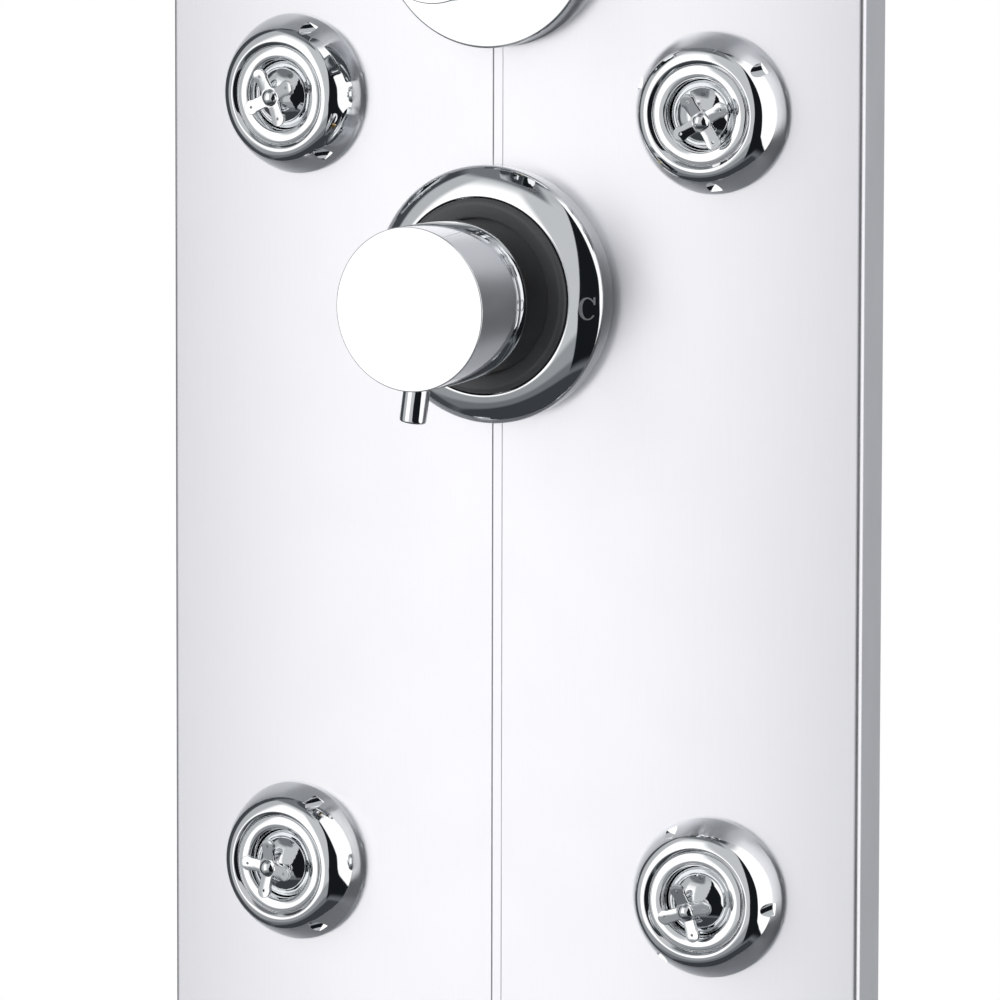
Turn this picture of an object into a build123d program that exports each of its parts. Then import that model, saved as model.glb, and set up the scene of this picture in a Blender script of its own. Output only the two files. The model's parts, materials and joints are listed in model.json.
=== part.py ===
from build123d import *
from math import asin, cos, radians, sin, sqrt
import os

# Wall-mounted rainfall shower column, in millimetres.
# Origin: middle of the upper wall bracket on the wall plane. +Z is up, the front faces -Y.

# Panel extrusion
PANEL_TOP = 110.0
PANEL_BOTTOM = -1190.0
FRONT_Y = -57.0  # front surface on the centreline
BOW_RADIUS = 808.0  # the front is bowed outwards
CORNER_X = 121.1  # front corner, before its rounding
BACK_X = 105.4  # back edge of the sloped side
BACK_Y = -2.0
SKIN = 1.8
LIP_X = 88.0  # inner edge of the back lip
CORNER_FILLET = 2.0
GROOVE_WIDTH = 3.3  # between the middles of the centre groove's sloped walls
GROOVE_DEPTH = 0.2
GROOVE_WALL = 0.4
CAP_THICKNESS = 3.0
CAP_RIM = 10.0

# Places on the front, as heights above the origin
MIXER_Z = -740.0
DIVERTER_Z = MIXER_Z + 112.9
UPPER_JET_Z = MIXER_Z + 58.5
LOWER_JET_Z = MIXER_Z - 183.4
ARM_Z = 50.0
JET_X = 72.3
PORT_Y = -34.8  # every pipe's depth behind the panel

# Wall fixing
BRACKET_Z = (0.0, -1040.0)
BRACKET_WIDTH = 150.0
BRACKET_SHEET = 2.5
SLOT_SPACING = 100.0
SLOT_LENGTH = 14.0
SLOT_WIDTH = 6.5
BAR_LENGTH = 200.0
BAR_SHEET = 2.0
BAR_SCREW_X = 96.0
BAR_SCREW_Z = (28.0, 42.0)  # heights over the bracket's middle
BAR_HOLE_R = 2.2

# Mixer
MIXER_HOLE_R = 24.5
KNOB_R = 25.2
KNOB_FACE = 57.3  # distance of the knob's face from the panel's front
KNOB_BACK = 33.0
PIVOT_H = 4.0  # height of the lever's pivot over the panel's front
LEVER_TURN = 8.0  # the handle rests turned clockwise from straight down, in degrees
LEVER_H = 45.5  # height of the pin lever over the panel's front
LEVER_R = 4.15
LEVER_OUT = 11.0  # how far the lever stands out of the knob
GRUB_H = 37.5
GRUB_R = 2.0
THREAD_R = 10.48  # G1/2
INLET_X = 45.0
SOCKET_DROP = 20.0  # from the mixer's axis down to the inlet sockets' mouths
STUB_END = 37.0  # from the mixer's axis up to the outlet stub's end

# Diverter
DIVERTER_HOLE_R = 16.5
DISC_R = 36.8
DIVERTER_KNOB_R = 21.0
DIVERTER_BACK = 13.0
DIVERTER_FACE = 44.0
DIVERTER_GRUB_H = 20.0
DIVERTER_STUB = 29.0  # from the diverter's axis to each stub's end

# Body jets: side, height, turn of the spanner holes, lean of the ball, the way it leans, turn of the star
JETS = {
    "ul": (-JET_X, UPPER_JET_Z, 68.0, 2.0, -45.0, 27.0),
    "ur": (JET_X, UPPER_JET_Z, 38.0, 11.5, -33.0, 31.0),
    "ll": (-JET_X, LOWER_JET_Z, 62.0, 4.7, -149.0, -8.0),
    "lr": (JET_X, LOWER_JET_Z, -4.0, 12.3, -120.0, 17.0),
}
JET_HOLE_R = 18.4
BALL_R = 12.0
BALL_H = 2.0  # height of the ball's centre over the panel's front
SEAT_GAP = 0.15
JOURNAL_R = 15.0
RING_HEAD_R = 15.3
RUNNING_GAP = 0.08
SPANNER_HOLE_R = 2.4
SPANNER_HOLE_AT = 22.9  # radius of the circle the spanner holes are on
SPANNER_HOLE_H = 4.5
STAR_PINHOLE_AT = 7.2
STAR_LOBE_R = 2.35
STAR_ARM_WIDTH = 4.0
PORT_DEPTH = -19.0  # height of the hose barbs' axis over the panel's front
UPPER = ("ul", "ur")
LOWER = ("ll", "lr")

# Pipes and hoses
TUBE_R = 7.0
STUB_R = 9.0
HOSE_R = 6.0
HOSE_BORE_R = 4.2
BARB_R = 4.0
HOSE_BEND = 26.0

# Overhead arm and head
ARM_R = 11.0
ARM_BORE_R = 9.0
ARM_REACH = 380.0
ARM_BEND = 40.0
ARM_DROP = 62.0
HEAD_R = 100.0
HEAD_Y = FRONT_Y - ARM_REACH
ARM_END = ARM_Z - ARM_DROP
BALL_Z = ARM_END - 26.0  # centre of the head's swivel ball
SWIVEL_R = 11.0
NOZZLE_RINGS = 6
NOZZLE_STEP = 14.4

os.makedirs("parts", exist_ok=True)
nodes = {}


def front_y(x):
    """Y of the bowed front surface at x."""
    return FRONT_Y + BOW_RADIUS - sqrt(BOW_RADIUS**2 - x**2)


def face_frame(x, z):
    """Frame on the front surface: local z points straight out of it and local y is up."""
    s = asin(x / BOW_RADIUS)
    return Plane(origin=(x, front_y(x), z), x_dir=(cos(s), sin(s), 0), z_dir=(sin(s), -cos(s), 0))


def turned(*outline):
    """Closed outline of (radius, height) points, turned about the local z axis."""
    return revolve(Plane.XZ * make_face(Polyline(*outline, close=True)), Axis.Z)


def turned_edges(edges):
    """The same for an outline with arcs, given as a list of edges."""
    return revolve(Plane.XZ * make_face(Wire(edges)), Axis.Z)


def rod(radius, low, high, x=0.0, y=0.0):
    """Round bar along local z between two heights."""
    return Pos(x, y, low) * Cylinder(radius, high - low, align=(Align.CENTER, Align.CENTER, Align.MIN))


def tube(outer, inner, low, high):
    return rod(outer, low, high) - rod(inner, low - 1, high + 1)


def hexagon(across_corners_r, low, high):
    return extrude(Plane.XY.offset(low) * RegularPolygon(across_corners_r, 6), high - low)


def slab(x0, x1, y0, y1, z0, z1):
    """Box between two corners."""
    return Pos((x0 + x1) / 2, (y0 + y1) / 2, (z0 + z1) / 2) * Box(x1 - x0, y1 - y0, z1 - z0)


def along(axis_plane, solid):
    """Moves a solid built about local z into a frame."""
    return axis_plane.location * solid


def upright(x, y):
    return Plane(origin=(x, y, 0), x_dir=(1, 0, 0), z_dir=(0, 0, 1))


def sideways(y, z, sign=1):
    """Frame whose local z runs along +X or -X."""
    return Plane(origin=(0, y, z), x_dir=(0, 1, 0), z_dir=(sign, 0, 0))


MIXER = face_frame(0, MIXER_Z)
DIVERTER = face_frame(0, DIVERTER_Z)
ARM = face_frame(0, ARM_Z)
SWIVEL = Plane(origin=(0, HEAD_Y, BALL_Z), x_dir=(1, 0, 0), z_dir=(0, 0, 1))
HANDLE = Plane(
    origin=MIXER.from_local_coords((0, 0, PIVOT_H)),
    x_dir=(cos(radians(LEVER_TURN)), 0, -sin(radians(LEVER_TURN))),
    z_dir=MIXER.z_dir,
)
JET = {name: face_frame(x, z) for name, (x, z, *_) in JETS.items()}


def bow(gap, z_low, z_high):
    """Everything behind the bowed front surface, grown outwards by a gap."""
    disc = Pos(0, FRONT_Y + BOW_RADIUS, z_low) * Cylinder(
        BOW_RADIUS + gap, z_high - z_low, align=(Align.CENTER, Align.CENTER, Align.MIN)
    )
    return disc & slab(-200, 200, FRONT_Y - 5, -20, z_low, z_high)


BEHIND_FRONT = bow(0.05, PANEL_BOTTOM, PANEL_TOP)


# ---------------------------------------------------------------- panel
def panel_outline():
    """Outer outline of the extrusion, with straight back and bowed front."""
    corner_y = front_y(CORNER_X)
    front = ThreePointArc((-CORNER_X, corner_y), (0, FRONT_Y), (CORNER_X, corner_y))
    rest = Polyline((CORNER_X, corner_y), (BACK_X, BACK_Y), (-BACK_X, BACK_Y), (-CORNER_X, corner_y))
    outline = make_face(front.edges() + rest.edges())
    corners = outline.vertices().sort_by(Axis.Y)[:2]
    return fillet(corners, CORNER_FILLET)


def groove_outline():
    """Section of the shallow centre groove, carried on outwards by the walls' own slope."""
    bottom = (GROOVE_WIDTH - GROOVE_WALL) / 2
    mouth = bottom + 2 * GROOVE_WALL
    y_in = FRONT_Y + GROOVE_DEPTH
    y_out = FRONT_Y - GROOVE_DEPTH
    corners = ((-bottom, y_in), (bottom, y_in), (mouth, y_out), (-mouth, y_out))
    return make_face(Polyline(*corners, close=True))


def front_panel():
    outline = panel_outline()
    hollow = offset(outline, -SKIN, kind=Kind.INTERSECTION)
    length = PANEL_TOP - PANEL_BOTTOM - 2 * CAP_THICKNESS
    shape = extrude(outline, length) - extrude(hollow, length)
    shape = Pos(0, 0, PANEL_BOTTOM + CAP_THICKNESS) * shape
    shape -= slab(-LIP_X, LIP_X, BACK_Y - SKIN - 1, BACK_Y + 1, PANEL_BOTTOM, PANEL_TOP)
    shape -= Pos(0, 0, PANEL_BOTTOM) * extrude(groove_outline(), PANEL_TOP - PANEL_BOTTOM)
    for frame in JET.values():
        shape -= along(frame, rod(JET_HOLE_R, -4, 4))
    shape -= along(MIXER, rod(MIXER_HOLE_R, -4, 4))
    shape -= along(DIVERTER, rod(DIVERTER_HOLE_R, -4, 4))
    shape -= along(ARM, rod(DIVERTER_HOLE_R, -4, 4))
    for z in BRACKET_Z:
        for x, dz in bar_screw_places():
            shape -= Pos(x, 0, z + dz) * Rot(90, 0, 0) * Cylinder(BAR_HOLE_R, 30)
    return shape


def end_cap(top):
    """Flat plate with a rim that plugs the extrusion's end."""
    outline = panel_outline()
    plug = offset(outline, -SKIN - 0.3, kind=Kind.INTERSECTION)
    inside = offset(outline, -SKIN - 2.0, kind=Kind.INTERSECTION)
    rim = extrude(plug, -CAP_RIM) - extrude(inside, -CAP_RIM)
    rim -= slab(-LIP_X - 1, LIP_X + 1, BACK_Y - 6, BACK_Y, -CAP_RIM, 0)
    cap = extrude(outline, CAP_THICKNESS) + rim
    cap = fillet(cap.faces().sort_by(Axis.Z)[-1].outer_wire().edges(), 0.6)
    if top:
        return Pos(0, 0, PANEL_TOP - CAP_THICKNESS) * cap
    return Pos(0, 0, PANEL_BOTTOM + CAP_THICKNESS) * Rot(0, 180, 0) * cap


def bar_screw_places():
    return [(side * BAR_SCREW_X, dz) for side in (-1, 1) for dz in BAR_SCREW_Z]


def wall_bracket(z):
    """J-shaped rail with two slots for the wall screws."""
    half = BRACKET_WIDTH / 2
    plate = slab(-half, half, -BRACKET_SHEET, 0, -20, 20)
    ledge = slab(-half, half, -11, 0, 20 - BRACKET_SHEET, 20)
    upstand = slab(-half, half, -11, -11 + BRACKET_SHEET, 20 - BRACKET_SHEET, 34)
    shape = plate + ledge + upstand
    for side in (-1, 1):
        slot = Rot(90, 0, 0) * extrude(SlotOverall(SLOT_LENGTH, SLOT_WIDTH), 6, both=True)
        shape -= Pos(side * SLOT_SPACING / 2, 0, 0) * slot
    return Pos(0, 0, z) * shape


def hanger_bar(z):
    """Bar across the panel's back lips that drops into the wall bracket."""
    front = BACK_Y - SKIN
    shape = slab(-BAR_LENGTH / 2, BAR_LENGTH / 2, front - BAR_SHEET, front, 20.2, 50)
    for x, dz in bar_screw_places():
        shape -= Pos(x, 0, dz) * Rot(90, 0, 0) * Cylinder(BAR_HOLE_R, 30)
    return Pos(0, 0, z) * shape


def bar_screw(x, z):
    """Pan-head screw with its head on the wall side of the lip."""
    head = Plane(origin=(x, BACK_Y, z), x_dir=(1, 0, 0), z_dir=(0, 1, 0))
    body = rod(3.8, 0, 1.7) + rod(2.0, -9, 0.5)
    body = fillet(body.faces().sort_by(Axis.Z)[-1].edges(), 0.8)
    cross = Pos(0, 0, 1.3) * (Box(4, 0.9, 1.2) + Box(0.9, 4, 1.2))
    return along(head, body - cross)


nodes["front_panel"] = front_panel()
nodes["top_cap"] = end_cap(True)
nodes["bottom_cap"] = end_cap(False)
nodes["wall_brackets"] = [wall_bracket(z) for z in BRACKET_Z]
nodes["hanger_bars"] = [hanger_bar(z) for z in BRACKET_Z]
nodes["panel_screws"] = [bar_screw(x, z + dz) for z in BRACKET_Z for x, dz in bar_screw_places()]


# ---------------------------------------------------------------- mixer
def mixer_body():
    """Brass body with a threaded neck, two inlet arms that turn down and one outlet stub on top."""
    shape = rod(27, -44, -3) + rod(20, -3.5, 5.2)
    body = along(MIXER, shape)
    body += along(sideways(PORT_Y, MIXER_Z), rod(11, -INLET_X, INLET_X))
    for side in (-1, 1):
        body += along(upright(side * INLET_X, PORT_Y), rod(13, MIXER_Z - SOCKET_DROP, MIXER_Z + 11))
    body += along(upright(0, PORT_Y), rod(STUB_R, MIXER_Z, MIXER_Z + STUB_END))
    body -= along(MIXER, rod(17.6, -32.2, 6))
    body -= along(upright(0, PORT_Y), rod(TUBE_R + 0.1, MIXER_Z + STUB_END - 8, MIXER_Z + STUB_END + 1))
    body -= along(upright(0, PORT_Y), rod(5, MIXER_Z + 16, MIXER_Z + STUB_END))
    for side in (-1, 1):
        socket = rod(8.05, MIXER_Z - SOCKET_DROP - 1, MIXER_Z - SOCKET_DROP + 10.2)
        passage = rod(6, MIXER_Z - SOCKET_DROP, MIXER_Z)
        body -= along(upright(side * INLET_X, PORT_Y), socket + passage)
    return body


def inlet_nipple(side):
    """G1/2 nipple with a hexagon, pointing down."""
    low = MIXER_Z - SOCKET_DROP
    shape = rod(8, low - 1, low + 10) + hexagon(13, low - 5, low - 0.1) + rod(THREAD_R, low - 19, low - 4.9)
    shape -= rod(6, low - 20, low + 11)
    return along(upright(side * INLET_X, PORT_Y), shape)


def mixer_cartridge():
    return along(MIXER, rod(17.5, -32, 5.3) - rod(12.1, -7, 6))


def cartridge_nut():
    """Hexagon cap nut that holds the cartridge in the neck."""
    shape = hexagon(24, -1, 8.0) & rod(23.6, -1, 8.0)
    shape -= rod(20.1, -2, 5.45)
    shape -= rod(14, 5, 9)
    return along(MIXER, shape)


def escutcheon():
    """Dished chrome ring, hollow behind, that follows the bowed front."""
    edges = [
        Line((39.5, -1.6), (40.0, 5.7)),
        ThreePointArc((40.0, 5.7), (39.86, 6.45), (39.49, 7.1)),
        ThreePointArc((39.49, 7.1), (35.52, 10.37), (30.65, 12.0)),
        Line((30.65, 12.0), (30.6, 11.8)),
        Line((30.6, 11.8), (30.6, 1.0)),
        Line((30.6, 1.0), (32.2, 1.0)),
        Line((32.2, 1.0), (32.2, 10.03)),
        ThreePointArc((32.2, 10.03), (34.94, 8.86), (38.26, 6.07)),
        Line((38.26, 6.07), (38.0, -1.6)),
        Line((38.0, -1.6), (39.5, -1.6)),
    ]
    return along(MIXER, turned_edges(edges)) - BEHIND_FRONT


def recess_collar():
    """Dark collar in the escutcheon's bore, with a rounded shoulder and a floor over the cap nut."""
    edges = [
        Line((30.3, 0.4), (30.3, 11.2)),
        ThreePointArc((30.3, 11.2), (29.7, 12.9), (28.3, 13.5)),
        Line((28.3, 13.5), (24.4, 13.1)),
        Line((24.4, 13.1), (24.1, 12.7)),
        Line((24.1, 12.7), (24.1, 10.4)),
        Line((24.1, 10.4), (9.5, 10.4)),
        Line((9.5, 10.4), (9.5, 9.2)),
        Line((9.5, 9.2), (24.1, 9.2)),
        Line((24.1, 9.2), (24.1, 0.4)),
        Line((24.1, 0.4), (30.3, 0.4)),
    ]
    return along(MIXER, turned_edges(edges))


def cartridge_spindle():
    """Turning core of the cartridge, slotted for the lever."""
    low = -6.6 - PIVOT_H
    shape = rod(12.0, low, 4.9 - PIVOT_H)
    shape -= slab(-5.1, 5.1, -10, 10, -5.5, 5)
    shape -= Rot(0, 90, 0) * Cylinder(1.53, 30)
    return along(HANDLE, shape)


def stem_pin():
    return along(HANDLE, Rot(0, 90, 0) * Cylinder(1.5, 20))


def lever_stem():
    """Round stem with a ball end on the pin. It carries the knob."""
    shape = rod(5, 0, 49 - PIVOT_H) + Sphere(5)
    shape -= Rot(0, 90, 0) * Cylinder(1.56, 30)
    return along(HANDLE, shape)


def knob_cup(radius, back, face, wall, hub, bore, depth):
    """Turned cup with a closed face and a hub inside."""
    shape = rod(radius, back, face)
    shape = fillet(shape.faces().sort_by(Axis.Z)[-1].edges(), 0.35)
    shape -= rod(radius - wall, back - 1, face - 4) - rod(hub, back - 1, face - 4)
    shape -= rod(bore, back - 1, depth)
    return shape


def mixer_knob():
    shape = knob_cup(KNOB_R, KNOB_BACK - PIVOT_H, KNOB_FACE - PIVOT_H, 3.0, 9, 5.05, 49.1 - PIVOT_H)
    lever = LEVER_H - PIVOT_H
    shape -= Pos(0, -KNOB_R, lever) * Rot(90, 0, 0) * Cylinder(2.5, 20)
    shape -= Pos(0, -KNOB_R / 2, GRUB_H - PIVOT_H) * Rot(90, 0, 0) * Cylinder(GRUB_R + 0.05, KNOB_R + 2)
    return along(HANDLE, shape)


def knob_base_ring():
    """Bead ring that closes the back of the knob."""
    back = 24.0 - PIVOT_H
    front = KNOB_BACK - PIVOT_H - 0.1
    edges = [
        Line((9.0, front), (24.8, front)),
        Line((24.8, front), (24.9, back + 5)),
        ThreePointArc((24.9, back + 5), (23.6, back + 1.4), (20.5, back)),
        Line((20.5, back), (5.1, back)),
        Line((5.1, back), (5.1, front)),
        Line((5.1, front), (9.0, front)),
    ]
    return along(HANDLE, turned_edges(edges))


def pin_lever():
    """Round pin under the knob with a threaded end."""
    grip = rod(LEVER_R, KNOB_R + 0.05, KNOB_R + LEVER_OUT)
    grip = fillet(grip.faces().sort_by(Axis.Z)[-1].edges(), 0.7)
    shape = grip + rod(2.45, KNOB_R - 2.9, KNOB_R + 1)
    down = Plane(origin=(0, 0, LEVER_H - PIVOT_H), x_dir=(1, 0, 0), z_dir=(0, -1, 0))
    return along(HANDLE, along(down, shape))


def grub_screw(frame, height, start, end):
    shape = rod(GRUB_R, start, end) - hexagon(1.1, end - 1.6, end + 1)
    down = Plane(origin=(0, 0, height), x_dir=(1, 0, 0), z_dir=(0, -1, 0))
    return along(frame, along(down, shape))


nodes["mixer_body"] = mixer_body()
nodes["inlet_nipples"] = [inlet_nipple(-1), inlet_nipple(1)]
nodes["mixer_cartridge"] = mixer_cartridge()
nodes["cartridge_nut"] = cartridge_nut()
nodes["cartridge_spindle"] = cartridge_spindle()
nodes["stem_pin"] = stem_pin()
nodes["mixer_escutcheon"] = escutcheon()
nodes["recess_collar"] = recess_collar()
nodes["lever_stem"] = lever_stem()
nodes["mixer_knob"] = mixer_knob()
nodes["knob_base_ring"] = knob_base_ring()
nodes["pin_lever"] = pin_lever()
nodes["mixer_grub_screw"] = grub_screw(HANDLE, GRUB_H - PIVOT_H, 5.1, 12.0)


# ---------------------------------------------------------------- diverter
def diverter_body():
    """Brass body with a stub below and above and a hose barb on each side."""
    body = along(DIVERTER, rod(19, -42, -3) + rod(15, -3.5, 4.0))
    body += along(upright(0, PORT_Y), rod(STUB_R, DIVERTER_Z - DIVERTER_STUB, DIVERTER_Z + DIVERTER_STUB))
    for side in (-1, 1):
        body += along(sideways(PORT_Y, DIVERTER_Z, side), rod(BARB_R, 15, 34) + rod(7.5, 15, 21))
    body -= along(DIVERTER, rod(12.05, -30.2, 6))
    for side in (-1, 1):
        sleeve = rod(TUBE_R + 0.1, DIVERTER_Z + side * 25 - 4, DIVERTER_Z + side * 25 + 4.5)
        passage = rod(4.5, DIVERTER_Z + side * 20 - 9, DIVERTER_Z + side * 20 + 9)
        body -= along(upright(0, PORT_Y), sleeve + passage)
        body -= along(sideways(PORT_Y, DIVERTER_Z, side), rod(2.6, 10, 35))
    return body


def diverter_cartridge():
    return along(DIVERTER, rod(12.0, -30, 4.5) - rod(5.06, -12, 6))


def diverter_nut():
    shape = (hexagon(19, 0.6, 6.4) & rod(18.4, 0.6, 6.4)) - rod(15.05, 0, 4.55) - rod(9, 4, 7)
    return along(DIVERTER, shape)


def diverter_spindle():
    return along(DIVERTER, rod(5.0, -11.6, DIVERTER_FACE - 7))


def diverter_disc():
    """Chrome disc with a slightly domed face, hollow behind."""
    rim = DISC_R - 0.6
    edges = [
        Line((DISC_R, -1.4), (DISC_R, 8.9)),
        ThreePointArc((DISC_R, 8.9), (DISC_R - 0.15, 9.35), (rim, 9.6)),
        ThreePointArc((rim, 9.6), (23.0, 11.6), (9.4, 12.3)),
        Line((9.4, 12.3), (9.4, 10.5)),
        Line((9.4, 10.5), (34.9, 8.0)),
        Line((34.9, 8.0), (34.9, -1.4)),
        Line((34.9, -1.4), (DISC_R, -1.4)),
    ]
    return along(DIVERTER, turned_edges(edges)) - BEHIND_FRONT


def diverter_knob():
    shape = knob_cup(DIVERTER_KNOB_R, DIVERTER_BACK, DIVERTER_FACE, 2.6, 8, 5.05, DIVERTER_FACE - 6.9)
    shape -= Pos(0, -DIVERTER_KNOB_R / 2, DIVERTER_GRUB_H) * Rot(90, 0, 0) * Cylinder(GRUB_R + 0.05, DIVERTER_KNOB_R + 2)
    return along(DIVERTER, shape)


nodes["diverter_body"] = diverter_body()
nodes["diverter_cartridge"] = diverter_cartridge()
nodes["diverter_nut"] = diverter_nut()
nodes["diverter_spindle"] = diverter_spindle()
nodes["diverter_disc"] = diverter_disc()
nodes["diverter_knob"] = diverter_knob()
nodes["diverter_grub_screw"] = grub_screw(DIVERTER, DIVERTER_GRUB_H, 5.1, 11.0)


# ---------------------------------------------------------------- body jets
def jet_flange(name):
    """Domed chrome flange with a threaded sleeve and three spanner holes."""
    bore = JOURNAL_R + RUNNING_GAP
    mouth = RING_HEAD_R + RUNNING_GAP
    edges = [
        Line((25.0, -0.8), (25.0, 0.8)),
        ThreePointArc((25.0, 0.8), (24.9, 1.65), (24.6, 2.4)),
        Line((24.6, 2.4), (21.15, 9.4)),
        ThreePointArc((21.15, 9.4), (20.86, 9.88), (20.5, 10.3)),
        ThreePointArc((20.5, 10.3), (18.7, 11.5), (16.6, 11.9)),
        Line((16.6, 11.9), (16.3, 11.75)),
        Line((16.3, 11.75), (mouth, 10.85)),
        Line((mouth, 10.85), (mouth, 7.0)),
        Line((mouth, 7.0), (bore, 7.0)),
        Line((bore, 7.0), (bore, -12.0)),
        Line((bore, -12.0), (18.0, -12.0)),
        Line((18.0, -12.0), (18.0, 1.4)),
        Line((18.0, 1.4), (24.0, 1.4)),
        Line((24.0, 1.4), (24.0, -0.8)),
        Line((24.0, -0.8), (25.0, -0.8)),
    ]
    shape = turned_edges(edges)
    turn = JETS[name][2]
    for step in range(3):
        a = radians(turn + 120 * step)
        x, y = SPANNER_HOLE_AT * cos(a), SPANNER_HOLE_AT * sin(a)
        shape -= rod(SPANNER_HOLE_R, SPANNER_HOLE_H, 14, x, y)
    placed = along(JET[name], shape)
    cutter = BEHIND_FRONT - along(JET[name], rod(19.5, -6, 6))
    return placed - cutter


def jet_ring(name):
    """Retaining ring: rounded face, well, and the spherical seat that holds the ball."""
    seat = BALL_R + SEAT_GAP
    lip_r = 10.85
    lip_h = BALL_H + sqrt(seat**2 - lip_r**2)
    middle = (seat * cos(radians(22)), BALL_H + seat * sin(radians(22)))
    edges = [
        Line((RING_HEAD_R, 7.35), (RING_HEAD_R, 10.8)),
        Line((RING_HEAD_R, 10.8), (15.1, 11.0)),
        ThreePointArc((15.1, 11.0), (13.4, 11.3), (11.6, 11.0)),
        Line((11.6, 11.0), (11.2, 10.6)),
        Line((11.2, 10.6), (11.05, 8.5)),
        Line((11.05, 8.5), (lip_r, 8.3)),
        Line((lip_r, 8.3), (lip_r, lip_h)),
        ThreePointArc((lip_r, lip_h), middle, (seat, BALL_H)),
        Line((seat, BALL_H), (seat, -4.0)),
        Line((seat, -4.0), (JOURNAL_R, -4.0)),
        Line((JOURNAL_R, -4.0), (JOURNAL_R, 7.35)),
        Line((JOURNAL_R, 7.35), (RING_HEAD_R, 7.35)),
    ]
    return along(JET[name], turned_edges(edges))


def ball_frame(name):
    """Frame at the ball's centre whose z is the spray direction at rest."""
    lean, towards = JETS[name][3:5]
    frame = JET[name]
    centre = frame.from_local_coords((0, 0, BALL_H))
    a, b = radians(lean), radians(towards)
    local = (sin(a) * cos(b), sin(a) * sin(b), cos(a))
    direction = frame.x_dir * local[0] + frame.y_dir * local[1] + frame.z_dir * local[2]
    across = frame.y_dir * cos(b) - frame.x_dir * sin(b)  # the tilt axis
    side = across.cross(direction)
    x_dir = side * cos(b) - across * sin(b)
    return Plane(origin=centre, x_dir=x_dir, z_dir=direction)


def jet_ball(name):
    """Polished swivel ball, cut off behind, with a spigot for the star."""
    shape = Sphere(BALL_R) - slab(-20, 20, -20, 20, -20, -8)
    shape += rod(3.2, 11.0, 12.5) + rod(1.5, 12, 14.8)
    shape -= rod(4, -9, 2)
    return along(ball_frame(name), shape)


def star_outline():
    """Cross of four lobed arms with rounded inner corners."""
    cross = Rectangle(2 * STAR_PINHOLE_AT, STAR_ARM_WIDTH) + Rectangle(STAR_ARM_WIDTH, 2 * STAR_PINHOLE_AT)
    inner = [v for v in cross.vertices() if max(abs(v.X), abs(v.Y)) < STAR_ARM_WIDTH]
    cross = fillet(inner, 1.2)
    for x, y in ((1, 0), (0, 1), (-1, 0), (0, -1)):
        cross += Pos(x * STAR_PINHOLE_AT, y * STAR_PINHOLE_AT) * Circle(STAR_LOBE_R)
    return cross


def jet_star(name):
    """Four-armed spray cross on the ball's spigot, with a pinhole near each tip."""
    low, high = 12.8, 14.2
    shape = extrude(Plane.XY.offset(low) * star_outline(), high - low)
    for x, y in ((1, 0), (0, 1), (-1, 0), (0, -1)):
        shape -= rod(0.45, low - 1, high + 1, x * STAR_PINHOLE_AT, y * STAR_PINHOLE_AT)
    shape += (Pos(0, 0, high - 1.2) * Sphere(2.9)) & rod(3, high - 0.2, high + 3)
    shape -= rod(1.56, low - 1, 15.0)
    return along(ball_frame(name), Rot(0, 0, JETS[name][5]) * shape)


def jet_housing(name, barbs):
    """Brass housing screwed into the flange's sleeve, with hose barbs above and below."""
    frame = JET[name]
    shape = rod(14.95, -13, -4.6) + rod(17, -26, -12.5) - rod(11, -11, -4)
    body = along(frame, shape)
    x, y, z = frame.from_local_coords((0, 0, PORT_DEPTH))
    for way in barbs:
        vertical = Plane(origin=(x, y, z), x_dir=(1, 0, 0), z_dir=(0, 0, way))
        body += along(vertical, rod(BARB_R, 12, 30))
        body -= along(vertical, rod(2.6, 0, 31))
    return body


def jet_locknut(name):
    shape = hexagon(25, -8, -2.7) & rod(24.2, -8, -2.7)
    return along(JET[name], shape - rod(18.1, -9, -2))


def gasket(frame, inner, outer, high):
    """Foam ring between a cover and the bowed front."""
    return along(frame, tube(outer, inner, -1.6, high)) - BEHIND_FRONT


for key in JETS:
    nodes[f"jet_{key}_flange"] = jet_flange(key)
    nodes[f"jet_{key}_ring"] = jet_ring(key)
    nodes[f"jet_{key}_ball"] = jet_ball(key)
    nodes[f"jet_{key}_star"] = jet_star(key)
nodes["upper_jet_tees"] = [jet_housing(key, (1, -1)) for key in UPPER]
nodes["lower_jet_elbows"] = [jet_housing(key, (1,)) for key in LOWER]
nodes["jet_locknuts"] = [jet_locknut(key) for key in JETS]
nodes["panel_gaskets"] = [gasket(JET[key], 18.8, 23.6, 1.2) for key in JETS] + [
    gasket(MIXER, 33.4, 37.6, 1.2),
    gasket(DIVERTER, 26.0, 34.2, 1.2),
]


# ---------------------------------------------------------------- pipes and hoses
def pipe_nut(z, way):
    """Compression nut over a stub's end, where the tube goes in. way is +1 when the tube goes up."""
    shape = hexagon(13.5, -3, 9) & rod(13, -3, 9)
    shape -= rod(STUB_R + 0.05, -4, 0.1)
    shape -= rod(TUBE_R + 0.1, -1, 10)
    frame = Plane(origin=(0, PORT_Y, z), x_dir=(1, 0, 0), z_dir=(0, 0, way))
    return along(frame, shape)


def straight_pipe(low, high):
    return along(upright(0, PORT_Y), tube(TUBE_R, TUBE_R - 1.5, low, high))


def hose_route(name):
    """Route from the diverter's side barb, outwards and down to the jet's upper barb."""
    x, y, z = JET[name].from_local_coords((0, 0, PORT_DEPTH))
    side = 1 if x > 0 else -1
    start = (side * 22, PORT_Y, DIVERTER_Z)
    corner = (x, y, DIVERTER_Z)
    end = (x, y, z + 18)
    return FilletPolyline(start, corner, end, radius=HOSE_BEND)


def feed_hose(name):
    route = hose_route(name)
    section = Plane(origin=route @ 0, z_dir=route % 0)
    return sweep(section * (Circle(HOSE_R) - Circle(HOSE_BORE_R)), path=route)


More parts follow.
